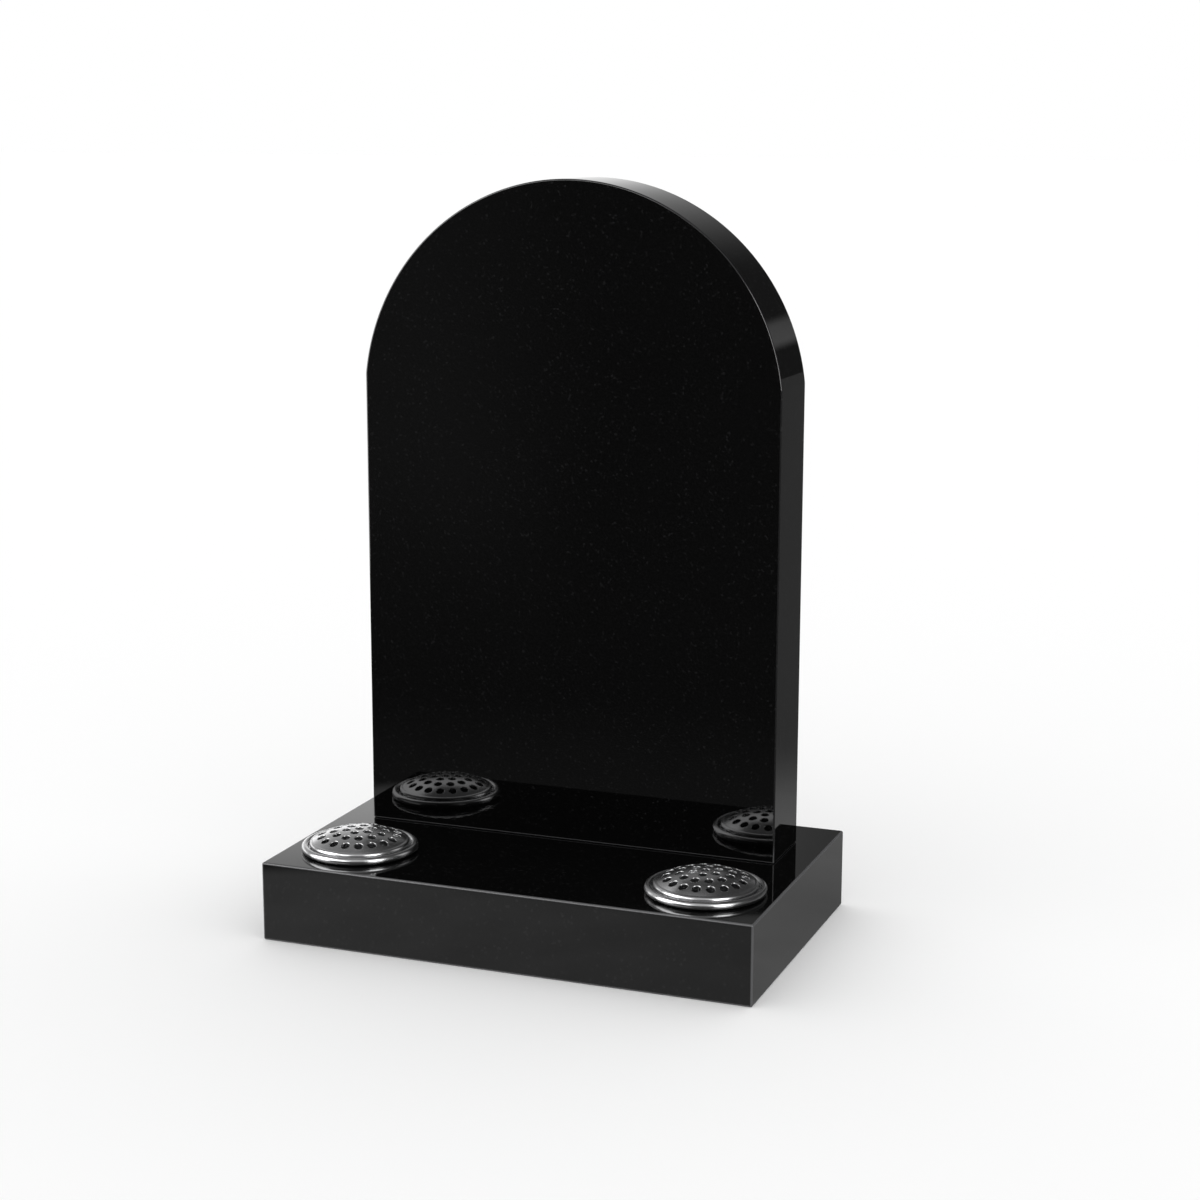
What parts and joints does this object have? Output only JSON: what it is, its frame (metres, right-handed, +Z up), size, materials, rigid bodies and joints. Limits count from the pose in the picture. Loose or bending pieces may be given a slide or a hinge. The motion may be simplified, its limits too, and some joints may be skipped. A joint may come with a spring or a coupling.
{
  "type": "headstone",
  "caption": "Upright round-topped headstone of polished black granite on a block base, with spun metal flower containers let into the base under pierced domed lids.",
  "frame": {"origin": "middle of the base's underside, at ground level", "axes": "+Z up, +X to the right of someone who faces the memorial, -Y out of its front"},
  "size_m": [0.61, 0.376, 0.8933],
  "materials": {
    "polished_granite": "polished black granite, fine grained, mirror gloss",
    "spun_metal": "spun and buffed, bright, with fine turning lines"
  },
  "bodies": {
    "root": {"base": "polished_granite", "headstone": "polished_granite", "flower_container_left": "spun_metal", "flower_container_right": "spun_metal", "container_lid_left": "spun_metal", "container_lid_right": "spun_metal"}
  },
  "joints": []
}
